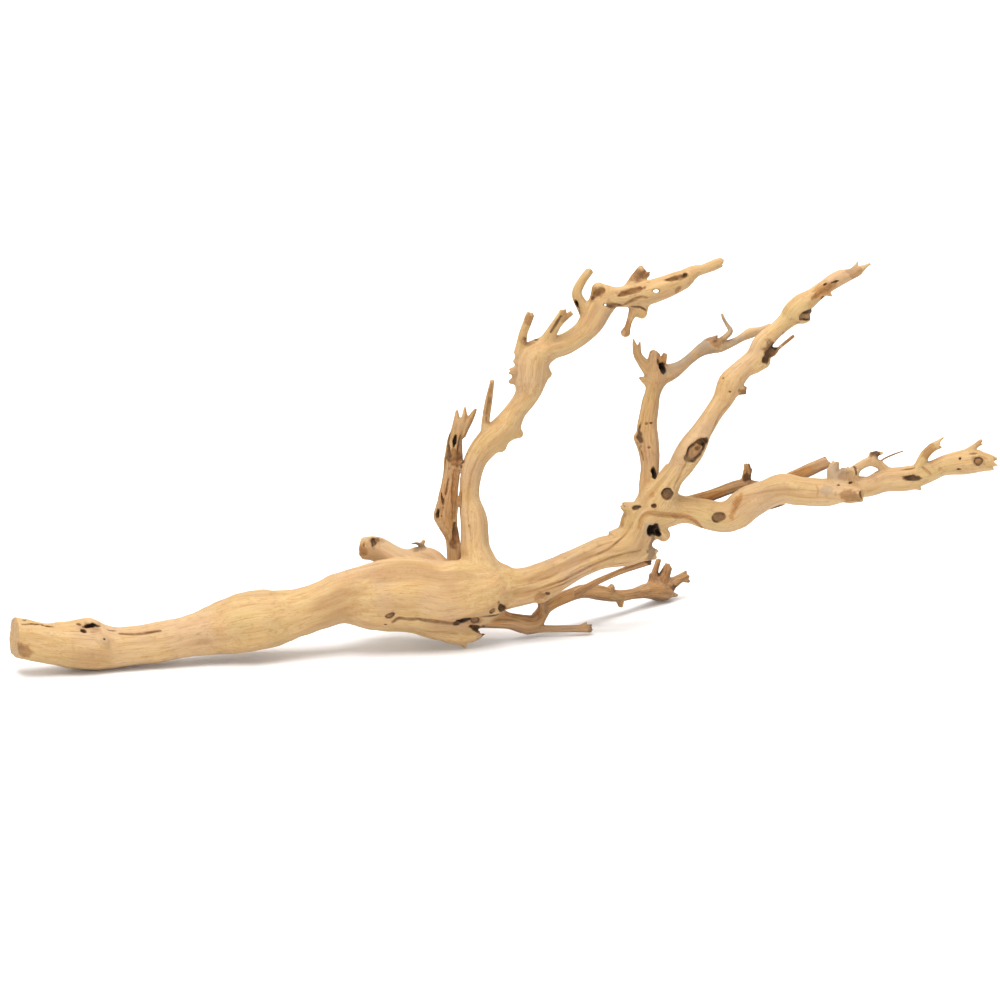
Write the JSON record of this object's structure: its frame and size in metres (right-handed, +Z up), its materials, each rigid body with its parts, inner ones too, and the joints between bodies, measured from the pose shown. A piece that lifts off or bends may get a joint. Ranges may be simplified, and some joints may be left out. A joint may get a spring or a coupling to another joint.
{
  "type": "fallen branch",
  "caption": "Bare, pale, knotted branch lying on its underside: a thick sawn limb that forks into broken limbs, a hollow split snag and thin torn twigs.",
  "frame": {"origin": "on the ground under the middle of the branch's box", "axes": "+X along the branch from the sawn butt to the far tips, +Y to its back, +Z up"},
  "size_m": [0.4819, 0.1376, 0.1871],
  "materials": {
    "pale_wood": "bare, dry and matt, with open grain",
    "brown_wood": "bare, dead and weathered, matt"
  },
  "bodies": {
    "root": {"trunk": "pale_wood", "rear_stub": "pale_wood", "split_snag": "brown_wood", "upright_limb": "pale_wood", "middle_limb": "pale_wood", "back_limb": "pale_wood", "back_arm": "pale_wood", "diagonal_limb": "pale_wood", "right_limb": "pale_wood", "rear_twig": "brown_wood", "lower_twig": "brown_wood", "lower_spur": "brown_wood", "strip_twig": "brown_wood"}
  },
  "joints": []
}
